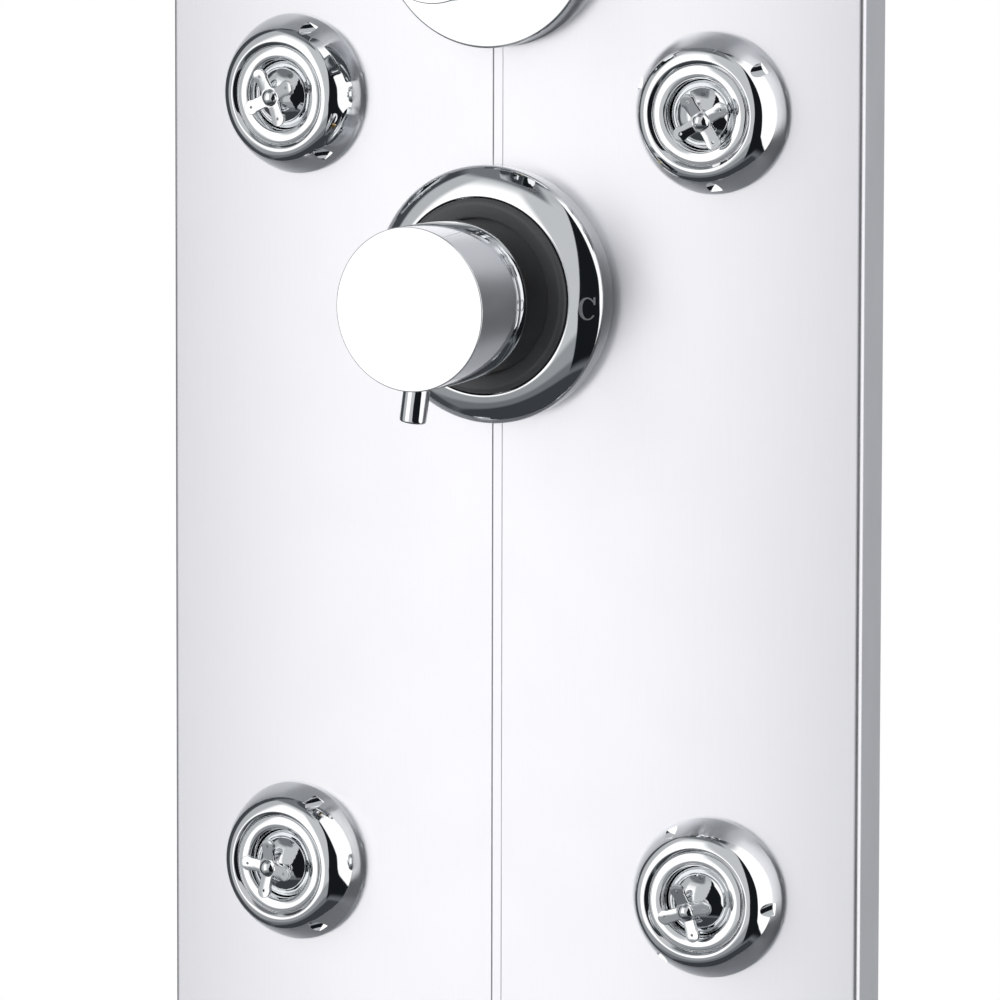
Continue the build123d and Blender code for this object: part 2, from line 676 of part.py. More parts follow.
def link_hose(upper, lower):
    x, y, z = JET[upper].from_local_coords((0, 0, PORT_DEPTH))
    bottom = JET[lower].from_local_coords((0, 0, PORT_DEPTH)).Z
    return along(upright(x, y), tube(HOSE_R, HOSE_BORE_R, bottom + 18, z - 18))


def ferrule(frame, low):
    return along(frame, tube(7.0, HOSE_R + 0.1, low, low + 8))


def hose_ferrules():
    rings = []
    for name in UPPER:
        x, y, z = JET[name].from_local_coords((0, 0, PORT_DEPTH))
        side = 1 if x > 0 else -1
        bottom = JET[LOWER[UPPER.index(name)]].from_local_coords((0, 0, PORT_DEPTH)).Z
        rings.append(ferrule(sideways(PORT_Y, DIVERTER_Z, side), 24))
        rings.append(ferrule(upright(x, y), z + 20))
        rings.append(ferrule(upright(x, y), z - 28))
        rings.append(ferrule(upright(x, y), bottom + 20))
    return rings


nodes["transfer_tube"] = straight_pipe(MIXER_Z + STUB_END - 7, DIVERTER_Z - 22)
nodes["riser_pipe"] = straight_pipe(DIVERTER_Z + 22, ARM_Z - 22)
nodes["jet_hoses"] = [feed_hose(key) for key in UPPER] + [link_hose(*pair) for pair in zip(UPPER, LOWER)]
nodes["hose_ferrules"] = hose_ferrules()
nodes["pipe_nuts"] = [
    pipe_nut(MIXER_Z + STUB_END, 1),
    pipe_nut(DIVERTER_Z - DIVERTER_STUB, -1),
    pipe_nut(DIVERTER_Z + DIVERTER_STUB, 1),
    pipe_nut(ARM_Z - 28, -1),
]


# ---------------------------------------------------------------- overhead arm and head
def arm_elbow():
    """Brass elbow behind the panel. Its neck comes through the front and takes the arm."""
    body = along(ARM, rod(17, -38, -3) + rod(14.5, -3.5, 7))
    body += along(upright(0, PORT_Y), rod(STUB_R, ARM_Z - 28, ARM_Z))
    body -= along(ARM, rod(ARM_R + 0.1, -19, 8))
    body -= along(upright(0, PORT_Y), rod(TUBE_R + 0.1, ARM_Z - 29, ARM_Z - 20) + rod(5, ARM_Z - 29, ARM_Z))
    return body


def rain_arm():
    """Bent tube that carries the overhead head."""
    start = (0, FRONT_Y + 18.5, ARM_Z)
    corner = (0, HEAD_Y, ARM_Z)
    end = (0, HEAD_Y, ARM_END)
    route = FilletPolyline(start, corner, end, radius=ARM_BEND)
    section = Plane(origin=route @ 0, z_dir=route % 0)
    return sweep(section * (Circle(ARM_R) - Circle(ARM_BORE_R)), path=route)


def arm_flange():
    edges = [
        Line((28.0, -0.9), (28.0, 1.4)),
        ThreePointArc((28.0, 1.4), (25.6, 6.4), (20.5, 9.0)),
        Line((20.5, 9.0), (11.2, 10.2)),
        Line((11.2, 10.2), (11.2, 8.0)),
        Line((11.2, 8.0), (19.5, 7.0)),
        ThreePointArc((19.5, 7.0), (24.3, 5.0), (26.4, 1.4)),
        Line((26.4, 1.4), (26.4, -0.9)),
        Line((26.4, -0.9), (28.0, -0.9)),
    ]
    return along(ARM, turned_edges(edges)) - BEHIND_FRONT


def swivel_ball():
    """Ball with a hexagon collar and a spigot that turns in the arm's end."""
    shape = Sphere(SWIVEL_R) + rod(6, 0, 18) + hexagon(14, 16, 25.7) + rod(8.92, 25, 42)
    return along(SWIVEL, shape - rod(4, -20, 50))


def swivel_nut():
    """Knurled cap nut whose spherical seat hangs on the ball."""
    seat = SWIVEL_R + SEAT_GAP
    opening = 9.5
    top = sqrt(seat**2 - opening**2)
    middle = (seat * cos(radians(17)), seat * sin(radians(17)))
    edges = [
        Line((opening, top), (opening + 1.6, top + 1.6)),
        Line((opening + 1.6, top + 1.6), (17.0, top + 1.6)),
        Line((17.0, top + 1.6), (19.0, top - 0.6)),
        Line((19.0, top - 0.6), (19.0, -12.0)),
        Line((19.0, -12.0), (14.1, -12.0)),
        Line((14.1, -12.0), (14.1, -2.0)),
        Line((14.1, -2.0), (seat, -2.0)),
        Line((seat, -2.0), (seat, 0)),
        ThreePointArc((seat, 0), middle, (opening, top)),
    ]
    return along(SWIVEL, turned_edges(edges))


def head_shell():
    """Thin round shell with a threaded hub that screws into the swivel nut."""
    hub = [(4, -12.2), (14.0, -12.2), (14.0, -18)]
    outside = [(24, -19), (60, -21.5), (97, -25.5), (HEAD_R, -28), (HEAD_R, -33)]
    inside = [(HEAD_R - 1.1, -33), (HEAD_R - 1.1, -28.2), (60, -23.5), (24, -21), (4, -20)]
    return along(SWIVEL, turned(*hub, *outside, *inside))


def nozzle_places():
    """Rings of nozzles on the spray plate."""
    places = []
    for ring in range(1, NOZZLE_RINGS + 1):
        count = 6 * ring
        for step in range(count):
            a = radians(360 * step / count)
            places.append((NOZZLE_STEP * ring * cos(a), NOZZLE_STEP * ring * sin(a)))
    return places


def spray_plate():
    plate_r = HEAD_R - 1.3
    with_rim = rod(plate_r, -33, -28.6) - rod(plate_r - 2.7, -30, -28)
    holes = [rod(1.5, -34, -29, x, y) for x, y in nozzle_places()]
    return along(SWIVEL, with_rim - holes)


def spray_nozzles():
    """One soft nozzle in each hole of the plate."""
    tip = turned((0.5, -36), (1.0, -36), (1.45, -33.4), (1.45, -30.5), (0.5, -30.5))
    return [along(SWIVEL, Pos(x, y, 0) * tip) for x, y in nozzle_places()]


nodes["arm_elbow"] = arm_elbow()
nodes["rain_arm"] = rain_arm()
nodes["arm_flange"] = arm_flange()
nodes["swivel_ball"] = swivel_ball()
nodes["swivel_nut"] = swivel_nut()
nodes["head_shell"] = head_shell()
nodes["spray_plate"] = spray_plate()
nodes["spray_nozzles"] = spray_nozzles()

for node_name, shape in nodes.items():
    solids = [s for piece in shape for s in piece.solids()] if isinstance(shape, list) else shape.solids()
    export_step(solids[0] if len(solids) == 1 else Compound(solids), f"parts/{node_name}.step")
    print(node_name, len(solids))
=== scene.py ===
import json
import math

import bmesh
import bpy
from mathutils import Matrix, Vector


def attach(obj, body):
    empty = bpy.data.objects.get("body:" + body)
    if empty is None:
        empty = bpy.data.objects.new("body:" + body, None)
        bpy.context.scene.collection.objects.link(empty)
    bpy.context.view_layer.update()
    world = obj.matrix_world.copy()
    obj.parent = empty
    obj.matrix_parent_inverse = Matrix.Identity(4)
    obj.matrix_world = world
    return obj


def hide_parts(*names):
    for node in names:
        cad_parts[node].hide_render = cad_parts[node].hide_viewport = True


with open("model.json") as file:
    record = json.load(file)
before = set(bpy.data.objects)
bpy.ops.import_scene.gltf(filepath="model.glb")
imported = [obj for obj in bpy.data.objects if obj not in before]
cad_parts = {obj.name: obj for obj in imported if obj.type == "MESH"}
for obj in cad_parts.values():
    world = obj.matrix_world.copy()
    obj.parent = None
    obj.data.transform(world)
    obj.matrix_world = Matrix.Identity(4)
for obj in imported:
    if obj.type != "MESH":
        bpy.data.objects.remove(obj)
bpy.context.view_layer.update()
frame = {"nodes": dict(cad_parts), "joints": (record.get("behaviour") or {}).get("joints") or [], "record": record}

# Rainfall shower column: chrome fittings, a satin aluminium panel and the brass works behind it.
# Blender lengths are metres in the row frame. Outlines are millimetres in a local frame whose
# z points out of the panel and whose y is up, and placed() turns them into the row frame.

MM = 0.001
NODES = frame["nodes"]
JOINTS = {joint["name"]: joint for joint in frame["joints"]}
JET_KEYS = ("ul", "ur", "ll", "lr")


def linked(name, data):
    """New object in the scene for a mesh, a camera or a light."""
    made = bpy.data.objects.new(name, data)
    bpy.context.scene.collection.objects.link(made)
    return made


# ---------------------------------------------------------------- camera
CAMERA_AZIMUTH = math.radians(27.991)
CAMERA_ELEVATION = math.radians(7.250)
CAMERA_ROLL = math.radians(0.12)
CAMERA_DISTANCE = 2.9244
CAMERA_ASIDE = 0.00087
CAMERA_ABOVE = -0.01202
CAMERA_LENS, CAMERA_SENSOR = 340.6, 36
CAMERA_CLIP = (0.1, 100)
AIM = Vector((0.0, -0.057, -0.79239))  # the point of the front that the view is set out from


def add_camera():
    a, e, roll = CAMERA_AZIMUTH, CAMERA_ELEVATION, CAMERA_ROLL
    back = Vector((math.sin(a) * math.cos(e), -math.cos(a) * math.cos(e), math.sin(e)))
    right = Vector((math.cos(a), math.sin(a), 0))
    up = back.cross(right)
    place = AIM + back * CAMERA_DISTANCE + right * CAMERA_ASIDE + up * CAMERA_ABOVE
    rolled_right = right * math.cos(roll) + up * math.sin(roll)
    rolled_up = up * math.cos(roll) - right * math.sin(roll)
    data = bpy.data.cameras.new("camera")
    data.lens = CAMERA_LENS
    data.sensor_width = CAMERA_SENSOR
    data.clip_start, data.clip_end = CAMERA_CLIP
    camera = linked("camera", data)
    turn = Matrix((rolled_right, rolled_up, back)).transposed().to_4x4()
    camera.matrix_world = Matrix.Translation(place) @ turn
    bpy.context.scene.camera = camera


# ---------------------------------------------------------------- node trees
class Tree:
    """Short calls for building a node tree."""

    def __init__(self, owner):
        owner.use_nodes = True
        self.nodes = owner.node_tree.nodes
        self.links = owner.node_tree.links
        self.nodes.clear()

    def node(self, kind, **settings):
        made = self.nodes.new(kind)
        for name, value in settings.items():
            setattr(made, name, value)
        return made

    def put(self, socket, value):
        """A socket's value is a number, a colour or another node's output."""
        if isinstance(value, bpy.types.NodeSocket):
            self.links.new(value, socket)
        else:
            socket.default_value = value

    def math(self, operation, *values):
        made = self.node("ShaderNodeMath", operation=operation)
        for socket, value in zip(made.inputs, values):
            self.put(socket, value)
        return made.outputs[0]

    def step(self, value, low, high, to_low=0.0, to_high=1.0):
        """value's smooth way from low to high, as a number from to_low to to_high."""
        made = self.node("ShaderNodeMapRange", interpolation_type="SMOOTHSTEP")
        self.put(made.inputs["Value"], value)
        names = ("From Min", "From Max", "To Min", "To Max")
        for name, number in zip(names, (low, high, to_low, to_high)):
            self.put(made.inputs[name], number)
        return made.outputs["Result"]

    def blend(self, share, first, second):
        made = self.node("ShaderNodeMix", data_type="RGBA")
        self.put(made.inputs["Factor"], share)
        self.put(made.inputs["A"], first)
        self.put(made.inputs["B"], second)
        return made.outputs["Result"]

    def mix(self, share, first, second):
        made = self.node("ShaderNodeMix", data_type="FLOAT")
        self.put(made.inputs["Factor"], share)
        self.put(made.inputs["A"], first)
        self.put(made.inputs["B"], second)
        return made.outputs["Result"]


# ---------------------------------------------------------------- studio
# The studio is drawn by azimuth and elevation in degrees. Azimuth 0 is straight in front of the
# panel and 90 is at its right. A card is (from, to, softness of each border) across and the same
# upwards, then its brightness. Later cards cover earlier ones.
ROOM_BELOW, ROOM_ABOVE = 0.30, 0.52
ROOM_FROM, ROOM_TO = -40, 60  # elevations between which the room brightens
ALL_ROUND = (-200, 200, 1, 1)
FRONT_CARDS = (
    ((-98, 160, 6, 8), (-50, -21, 2.5, 3), 0.18),
    ((-98, 160, 6, 8), (-38, -21, 3, 3), 0.34),
    ((-150, -72, 12, 5), (-50, 75, 4, 6), 0.07),
    ((-72, -44, 5, 6), (-21, 57, 3, 5), 0.52),
    ((-13, 70, 4, 4), (-21, 57, 3, 5), 0.60),
    ((-98, 20, 6, 8), (50, 76, 4, 6), 0.20),
    ((-45, -11, 5, 4), (-21, 38, 3, 14), 1.25),
)
CLOSING_CARDS = (
    (ALL_ROUND, (-95, -50, 1, 3), 0.055),
    (ALL_ROUND, (76, 95, 4, 1), 0.08),
)
# The black card and the white strip at the right. The black card's left border moves away by the
# lean for each degree off the middle. The border that the two share bends away below one elevation
# and leans back above another.
BLACK_CARD, WHITE_STRIP = 0.012, 1.15
SIDE_UPWARDS = (-46, 66, 5, 5)
BLACK_FROM, BLACK_LEAN, BLACK_MIDDLE = 15.0, 0.55, -10.0
STRIP_FROM, STRIP_TO = 71.0, 140
STRIP_BENDS_UNDER, STRIP_BEND = -4.0, 0.031
STRIP_LEANS_OVER, STRIP_LEAN = 9.0, -0.31
TINT_POWERS = (1.07, 1.035, 1.0)  # dark parts of the studio are slightly blue
FLOOR_Z = -1.30
FLOOR_SIZE = 2.6
FLOOR_COLOUR, FLOOR_ROUGHNESS = (0.9, 0.9, 0.91, 1), 0.7
LAMP_AT, LAMP_AIM = (-1.9, -2.6, 0.9), (0, 0, -0.5)
LAMP_SIZE, LAMP_POWER = (1.6, 2.2), 55


def card_share(tree, azimuth, elevation, across, upwards):
    """1 on a card, 0 off it, with soft borders."""
    share = 1.0
    for value, (start, end, start_soft, end_soft) in ((azimuth, across), (elevation, upwards)):
        on = tree.step(tree.math("SUBTRACT", value, start), -start_soft, start_soft)
        off = tree.step(tree.math("SUBTRACT", value, end), -end_soft, end_soft, 1.0, 0.0)
        share = tree.math("MULTIPLY", share, tree.math("MULTIPLY", on, off))
    return share


def side_cards(tree, elevation):
    """Black card and white strip at the right. Their borders lean with the elevation."""
    off_middle = tree.math("ABSOLUTE", tree.math("ADD", elevation, -BLACK_MIDDLE))
    black_from = tree.math("MULTIPLY_ADD", off_middle, BLACK_LEAN, BLACK_FROM)
    under = tree.math("SUBTRACT", STRIP_BENDS_UNDER, elevation)
    over = tree.math("SUBTRACT", elevation, STRIP_LEANS_OVER)
    under, over = (tree.math("MAXIMUM", value, 0.0) for value in (under, over))
    under = tree.math("POWER", under, 2.0)
    strip_from = tree.math("MULTIPLY_ADD", under, STRIP_BEND, STRIP_FROM)
    strip_from = tree.math("MULTIPLY_ADD", over, STRIP_LEAN, strip_from)
    return (
        ((black_from, strip_from, 1.2, 1.0), SIDE_UPWARDS, BLACK_CARD),
        ((strip_from, STRIP_TO, 1.0, 8), SIDE_UPWARDS, WHITE_STRIP),
    )


def add_studio():
    """White to the camera. Everything else sees soft boxes, black cards and a grey room."""
    world = bpy.data.worlds.new("studio")
    bpy.context.scene.world = world
    tree = Tree(world)
    direction = tree.node("ShaderNodeTexCoord").outputs["Generated"]
    parts = tree.node("ShaderNodeSeparateXYZ")
    tree.put(parts.inputs[0], direction)
    x, y, z = parts.outputs
    azimuth = tree.math("DEGREES", tree.math("ARCTAN2", x, tree.math("MULTIPLY", y, -1.0)))
    elevation = tree.math("DEGREES", tree.math("ARCSINE", z))
    light = tree.step(elevation, ROOM_FROM, ROOM_TO, ROOM_BELOW, ROOM_ABOVE)
    for across, upwards, brightness in FRONT_CARDS + side_cards(tree, elevation) + CLOSING_CARDS:
        share = card_share(tree, azimuth, elevation, across, upwards)
        light = tree.mix(share, light, brightness)
    tint = tree.node("ShaderNodeCombineColor")
    for socket, power in zip(tint.inputs, TINT_POWERS):
        tree.put(socket, tree.math("POWER", light, power))
    seen = tree.node("ShaderNodeLightPath").outputs["Is Camera Ray"]
    colour = tree.blend(seen, tint.outputs[0], (1, 1, 1, 1))
    background = tree.node("ShaderNodeBackground")
    tree.put(background.inputs["Color"], colour)
    output = tree.node("ShaderNodeOutputWorld")
    tree.put(output.inputs["Surface"], background.outputs[0])
    bpy.context.scene.view_settings.view_transform = "Standard"


def add_floor():
    half = FLOOR_SIZE / 2
    mesh = bpy.data.meshes.new("floor")
    corners = ((-half, -half), (half, -half), (half, half), (-half, half))
    mesh.from_pydata([(x, y, FLOOR_Z) for x, y in corners], [], [(0, 1, 2, 3)])
    floor = linked("floor", mesh)
    floor.visible_glossy = False
    material = bpy.data.materials.new("floor_paint")
    tree = Tree(material)
    shader = tree.node("ShaderNodeBsdfPrincipled")
    shader.inputs["Base Color"].default_value = FLOOR_COLOUR
    shader.inputs["Roughness"].default_value = FLOOR_ROUGHNESS
    output = tree.node("ShaderNodeOutputMaterial")
    tree.put(output.inputs["Surface"], shader.outputs[0])
    mesh.materials.append(material)


def add_lamp():
    """Large soft lamp over the left of the camera, for the plastics and the floor."""
    data = bpy.data.lights.new("soft_lamp", "AREA")
    data.shape = "RECTANGLE"
    data.size, data.size_y = LAMP_SIZE
    data.energy = LAMP_POWER
    lamp = linked("soft_lamp", data)
    lamp.location = LAMP_AT
    aim = Vector(LAMP_AIM) - lamp.location
    lamp.rotation_euler = aim.to_track_quat("-Z", "Y").to_euler()
    lamp.visible_glossy = False
    lamp.visible_camera = False


# ---------------------------------------------------------------- materials
SLOW_SCALE, SLOW_DETAIL = 38, 3
QUICK_DETAIL = 4
QUICK_SHARE = 0.45  # of the fine noise in a finish's changes of tone
TONE_FROM, TONE_TO = 0.35, 0.65


def surface(name, tones, roughness, grain, bump, bump_size, metallic=1.0, **extra):
    """Procedural finish. tones are the two colours and roughness the two values that slow and fine
    noise move between. grain is the fine noise's scale along x, y and z, per metre. The fine noise
    also makes the relief: bump is its strength and bump_size its height in millimetres."""
    material = bpy.data.materials.new(name)
    tree = Tree(material)
    place = tree.node("ShaderNodeTexCoord").outputs["Object"]
    slow = tree.node("ShaderNodeTexNoise")
    slow.inputs["Scale"].default_value = SLOW_SCALE
    slow.inputs["Detail"].default_value = SLOW_DETAIL
    tree.put(slow.inputs["Vector"], place)
    stretch = tree.node("ShaderNodeMapping")
    stretch.inputs["Scale"].default_value = grain
    tree.put(stretch.inputs["Vector"], place)
    quick = tree.node("ShaderNodeTexNoise")
    quick.inputs["Scale"].default_value = 1
    quick.inputs["Detail"].default_value = QUICK_DETAIL
    tree.put(quick.inputs["Vector"], stretch.outputs[0])
    shader = tree.node("ShaderNodeBsdfPrincipled")
    shader.inputs["Metallic"].default_value = metallic
    noise = tree.mix(QUICK_SHARE, slow.outputs["Fac"], quick.outputs["Fac"])
    share = tree.step(noise, TONE_FROM, TONE_TO)
    low, high = ((*tone, 1) for tone in tones)
    tree.put(shader.inputs["Base Color"], tree.blend(share, low, high))
    tree.put(shader.inputs["Roughness"], tree.mix(share, *roughness))
    relief = tree.node("ShaderNodeBump")
    relief.inputs["Strength"].default_value = bump
    relief.inputs["Distance"].default_value = bump_size * MM
    tree.put(relief.inputs["Height"], quick.outputs["Fac"])
    tree.put(shader.inputs["Normal"], relief.outputs[0])
    for socket, value in extra.items():
        shader.inputs[socket.replace("_", " ")].default_value = value
    output = tree.node("ShaderNodeOutputMaterial")
    tree.put(output.inputs["Surface"], shader.outputs[0])
    return material


FINISH = {
    "satin_aluminium": dict(
        tones=((0.90, 0.90, 0.935), (0.93, 0.93, 0.965)), roughness=(0.28, 0.32),
        grain=(5200, 5200, 40), bump=0.2, bump_size=0.012, metallic=0.84),
    "cap_plastic": dict(
        tones=((0.50, 0.51, 0.53), (0.54, 0.55, 0.57)), roughness=(0.42, 0.5),
        grain=(2400, 2400, 2400), bump=0.3, bump_size=0.02, metallic=0.0),
    "zinc_steel": dict(
        tones=((0.55, 0.57, 0.60), (0.68, 0.69, 0.70)), roughness=(0.28, 0.42),
        grain=(500, 500, 500), bump=0.15, bump_size=0.02),
    "valve_brass": dict(
        tones=((0.66, 0.47, 0.20), (0.76, 0.58, 0.28)), roughness=(0.30, 0.46),
        grain=(900, 900, 900), bump=0.35, bump_size=0.05),
    "cartridge_plastic": dict(
        tones=((0.80, 0.79, 0.74), (0.86, 0.85, 0.81)), roughness=(0.35, 0.45),
        grain=(900, 900, 900), bump=0.15, bump_size=0.02, metallic=0.0),
    "polished_chrome": dict(
        tones=((0.87, 0.885, 0.90), (0.89, 0.90, 0.91)), roughness=(0.025, 0.05),
        grain=(260, 260, 260), bump=0.10, bump_size=0.006),
    "dark_collar": dict(
        tones=((0.062, 0.065, 0.068), (0.078, 0.081, 0.085)), roughness=(0.34, 0.42),
        grain=(3000, 3000, 3000), bump=0.2, bump_size=0.015, metallic=0.0),
    "seal_foam": dict(
        tones=((0.02, 0.02, 0.02), (0.05, 0.05, 0.05)), roughness=(0.85, 0.95),
        grain=(1500, 1500, 1500), bump=0.8, bump_size=0.15, metallic=0.0),
    "steel_pipe": dict(
        tones=((0.62, 0.63, 0.64), (0.70, 0.70, 0.71)), roughness=(0.22, 0.32),
        grain=(3000, 3000, 60), bump=0.2, bump_size=0.015),
    "hose_plastic": dict(
        tones=((0.74, 0.76, 0.77), (0.82, 0.83, 0.84)), roughness=(0.30, 0.40),
        grain=(500, 500, 900), bump=0.2, bump_size=0.05, metallic=0.0,
        Subsurface_Weight=0.3, Subsurface_Scale=0.003),
    "plate_plastic": dict(
        tones=((0.60, 0.61, 0.63), (0.66, 0.67, 0.69)), roughness=(0.22, 0.30),
        grain=(4200, 4200, 4200), bump=0.1, bump_size=0.01, metallic=0.6),
    "silicone": dict(
        tones=((0.16, 0.17, 0.18), (0.20, 0.21, 0.22)), roughness=(0.5, 0.6),
        grain=(1800, 1800, 1800), bump=0.2, bump_size=0.02, metallic=0.0),
    "engraving": dict(
        tones=((0.20, 0.205, 0.21), (0.26, 0.265, 0.27)), roughness=(0.45, 0.6),
        grain=(2400, 2400, 2400), bump=0.4, bump_size=0.02, metallic=0.0),
}
FINISH = {name: surface(name, **look) for name, look in FINISH.items()}


def dress_cad_nodes():
    """Gives every carried-over CAD node the finish of its slot."""
    for entry in frame["record"]["subparts"]:
        mesh = NODES[entry["node"]].data
        mesh.materials.clear()
        mesh.materials.append(FINISH[entry["material_slot"]])


# ---------------------------------------------------------------- turned pieces
ARC_STEPS = 14
SAMPLE = 0.1  # spacing of the samples that round an outline's corners
KEEP_TURN = math.radians(4.5)  # an outline's turn from one kept point to the next
BENT, STRAIGHT = 0.004, 0.002  # turn in radians from one sample to the next
ON_AXIS = 0.01


def placed(origin, out, up=(0, 0, 1)):
    """Local millimetres to the row frame: local z runs along out and local y upwards."""
    z = Vector(out).normalized()
    x = Vector(up).cross(z).normalized()
    turn = Matrix((x, z.cross(x), z)).transposed().to_4x4()
    return Matrix.Translation(Vector(origin)) @ turn @ Matrix.Scale(MM, 4)


def joint_place(name):
    return placed(JOINTS[name]["pos_m"], JOINTS[name]["axis"])


def circle_through(start, middle, end):
    """Centre and radius of the circle through three points."""
    (ax, ay), (bx, by), (cx, cy) = start, middle, end
    d = 2 * (ax * (by - cy) + bx * (cy - ay) + cx * (ay - by))
    a2, b2, c2 = ax * ax + ay * ay, bx * bx + by * by, cx * cx + cy * cy
    ux = (a2 * (by - cy) + b2 * (cy - ay) + c2 * (ay - by)) / d
    uy = (a2 * (cx - bx) + b2 * (ax - cx) + c2 * (bx - ax)) / d
    return ux, uy, math.hypot(ax - ux, ay - uy)


def arc_points(start, middle, end):
    """Points of the arc from start through middle to end, start left out."""
    ux, uy, radius = circle_through(start, middle, end)
    first = math.atan2(start[1] - uy, start[0] - ux)
    turn_mid = (math.atan2(middle[1] - uy, middle[0] - ux) - first) % math.tau
    turn_end = (math.atan2(end[1] - uy, end[0] - ux) - first) % math.tau
    if turn_mid > turn_end:
        turn_end -= math.tau
    angles = [first + turn_end * i / ARC_STEPS for i in range(1, ARC_STEPS + 1)]
    return [(ux + radius * math.cos(t), uy + radius * math.sin(t)) for t in angles]


def outline_points(steps):
    """Steps are (radius, height), or two points for an arc through the first to the second."""
    points = []
    for one in steps:
        if isinstance(one[0], tuple):
            points += arc_points(points[-1], *one)
        else:
            points.append(one)
    return [Vector(p) for p in points]


def resample(points, closed):
    """Points about SAMPLE apart along the outline."""
    ends = points + points[:1] if closed else points
    spaced = []
    for a, b in zip(ends, ends[1:]):
        count = max(1, round((b - a).length / SAMPLE))
        spaced += [a.lerp(b, i / count) for i in range(count)]
    return spaced if closed else spaced + [points[-1]]


def soften(points, closed, reach):
    """Rounds every corner over about reach millimetres each way."""
    width = max(1, round(reach / SAMPLE))
    for _ in range(2):
        count = len(points)
        moved = []
        for i, point in enumerate(points):
            room = width if closed else min(width, i, count - 1 - i)
            near = [points[(i + k) % count] for k in range(-room, room + 1)]
            moved.append(sum(near, Vector((0, 0))) / len(near))
        points = moved
    return points


def thin_out(points, closed):
    """Drops the samples of straight stretches, and some of those of bends."""
    count = len(points)
    tangents = []
    for i in range(count):
        before = points[i - 1] if closed or i else points[0]
        after = points[(i + 1) % count] if closed or i < count - 1 else points[-1]
        tangents.append((after - before).normalized())
    kept = [0]
    for i in range(1, count):
        turned = tangents[kept[-1]].angle(tangents[i])
        ahead = tangents[i].angle(tangents[(i + 1) % count])
        behind = tangents[i].angle(tangents[i - 1])
        bend_starts = ahead > BENT and behind < STRAIGHT
        bend_ends = behind > BENT and ahead < STRAIGHT
        if turned > KEEP_TURN or bend_starts or bend_ends or i == count - 1:
            kept.append(i)
    return [points[i] for i in kept]


def mesh_data(mesh, name):
    """Turns a finished bmesh into mesh data and frees it."""
    data = bpy.data.meshes.new(name)
    mesh.to_mesh(data)
    mesh.free()
    return data


def lathe_mesh(name, steps, soft, segments=160):
    """Solid of revolution about local z. Its outline is closed unless it ends on the axis."""
    points = outline_points(steps)
    closed = points[0].x > ON_AXIS and points[-1].x > ON_AXIS
    rings = thin_out(soften(resample(points, closed), closed, soft), closed)
    mesh = bmesh.new()
    layers = []
    for point in rings:
        if point.x < ON_AXIS:
            layers.append([mesh.verts.new((0, 0, point.y))])
            continue
        angles = (math.tau * k / segments for k in range(segments))
        spots = ((point.x * math.cos(t), point.x * math.sin(t), point.y) for t in angles)
        layers.append([mesh.verts.new(spot) for spot in spots])
    following = layers[1:] + layers[:1] if closed else layers[1:]
    for low, high in zip(layers, following):
        for k in range(segments):
            n = (k + 1) % segments
            if len(low) == 1:
                mesh.faces.new((low[0], high[n], high[k]))
            elif len(high) == 1:
                mesh.faces.new((low[k], low[n], high[0]))
            else:
                mesh.faces.new((low[k], low[n], high[n], high[k]))
    bmesh.ops.recalc_face_normals(mesh, faces=mesh.faces)
    for face in mesh.faces:
        face.smooth = True
    return mesh_data(mesh, name)


def add_piece(name, data, place, body, slot, *nodes, finish=None):
    """Puts a mesh into the row frame as a piece that stands for CAD nodes. It takes the finish of
    its slot if no other is given."""
    data.transform(place)
    data.materials.append(FINISH[finish or slot])
    piece = linked(name, data)
    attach(piece, body)
    if nodes:
        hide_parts(*nodes)
    return piece


def apply_modifiers(piece):
    """Makes the piece's modifiers part of its mesh."""
    graph = bpy.context.evaluated_depsgraph_get()
    data = bpy.data.meshes.new_from_object(piece.evaluated_get(graph))
    piece.modifiers.clear()
    piece.data = data


def carve(piece, *helpers, operation="DIFFERENCE"):
    """Subtracts helper objects from a piece, or adds them, then removes the helpers."""
    for tool in helpers:
        modifier = piece.modifiers.new("carve", "BOOLEAN")
        modifier.operation = operation
        modifier.solver = "EXACT"
        modifier.object = tool
    apply_modifiers(piece)
    for tool in helpers:
        bpy.data.objects.remove(tool)


def helper(data, place):
    """Short-lived object for carve()."""
    data.transform(place)
    return linked("helper", data)


def rod(place, radius, low, high, segments=48):
    """Round bar along local z, for carving."""
    mesh = bmesh.new()
    bmesh.ops.create_cone(
        mesh, cap_ends=True, segments=segments, radius1=radius, radius2=radius, depth=high - low,
        matrix=Matrix.Translation((0, 0, (low + high) / 2)))
    return helper(mesh_data(mesh, "rod"), place)


def sharpen(piece, degrees):
    """Edges that turn by more than this stay sharp in smooth shading."""
    piece.data.set_sharp_from_angle(angle=math.radians(degrees))


def pointing_down(place, height):
    """Frame at a height over place, whose z runs straight down the panel."""
    down = placed((0, 0, 0), (0, -1, 0)) @ Matrix.Scale(1 / MM, 4)
    return place @ Matrix.Translation((0, 0, height)) @ down


# ---------------------------------------------------------------- panel
PANEL_LOW, PANEL_HIGH = -1187.0, 107.0
FRONT_Y = -57.0
BOW_RADIUS = 808.0
BOW_CENTRE = Vector((0.0, FRONT_Y + BOW_RADIUS))
CORNER_X = 121.1
CORNER_ROUNDING = 2.0
BACK_X, BACK_Y = 105.4, -2.0
LIP_X = 88.0
SKIN = 1.8
GROOVE_BOTTOM, GROOVE_MOUTH, GROOVE_DEPTH = 1.45, 1.85, 0.2
BOW_STRIPS = 34
ROUNDING_STEPS = 10
JET_HOLE, MIXER_HOLE, SPOUT_HOLE, SCREW_HOLE = 18.4, 24.5, 16.5, 2.2
DIVERTER_Z, ARM_Z = -627.1, 50.0
SCREW_X = 96.0
SCREW_Z = (28.0, 42.0, -1012.0, -998.0)
SKIN_DRILL, BACK_DRILL = 4, 6  # how far drills reach each way from the surface that they start on
BORE_SEGMENTS, SCREW_SEGMENTS = 96, 32
